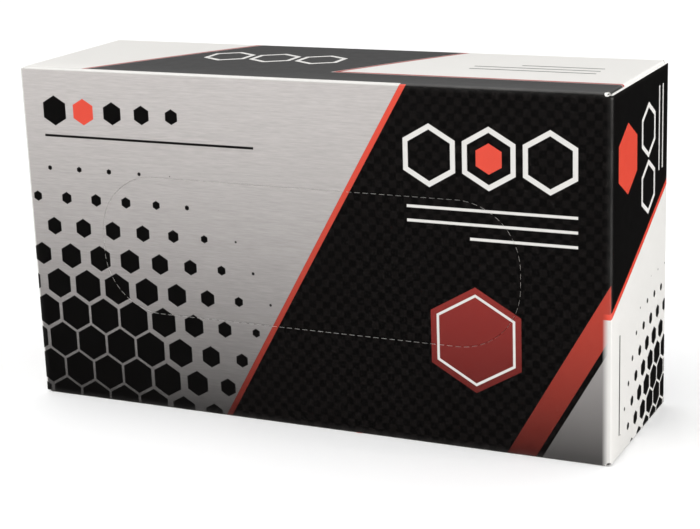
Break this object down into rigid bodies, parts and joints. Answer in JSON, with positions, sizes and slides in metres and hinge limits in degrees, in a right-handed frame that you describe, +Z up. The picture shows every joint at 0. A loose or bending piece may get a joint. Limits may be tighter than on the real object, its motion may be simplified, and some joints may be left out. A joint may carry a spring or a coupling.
{
  "type": "glove dispenser carton",
  "caption": "Closed folding carton of printed paperboard for disposable gloves, with glued end flaps and a perforated tear-out panel in its front face.",
  "frame": {"origin": "centre of the bottom panel's lower face, which the carton stands on", "axes": "+X along the carton's long side, with the front panel facing -Y, and +Z up"},
  "size_m": [0.228, 0.067, 0.128],
  "materials": {
    "silver_print": "semi-gloss varnish over brushed silver, black and red print",
    "white_print": "semi-gloss varnish over white, black and red print",
    "bare_board": "matt, uncoated greyish inside face"
  },
  "bodies": {
    "carton": {"front_panel": "silver_print", "back_panel": "silver_print", "top_panel": "white_print", "bottom_panel": "white_print", "glue_flap": "bare_board", "right_outer_flap": "white_print", "left_outer_flap": "white_print", "right_inner_flap": "bare_board", "left_inner_flap": "bare_board", "right_upper_dust_flap": "bare_board", "left_upper_dust_flap": "bare_board", "right_lower_dust_flap": "bare_board", "left_lower_dust_flap": "bare_board"},
    "tear_out": {"tear_panel": "silver_print"}
  },
  "joints": [
    {"name": "tear_panel_out", "type": "slide", "parent": "carton", "child": "tear_out", "axis": [0, -1, 0], "range_m": [0, 0.06]}
  ]
}
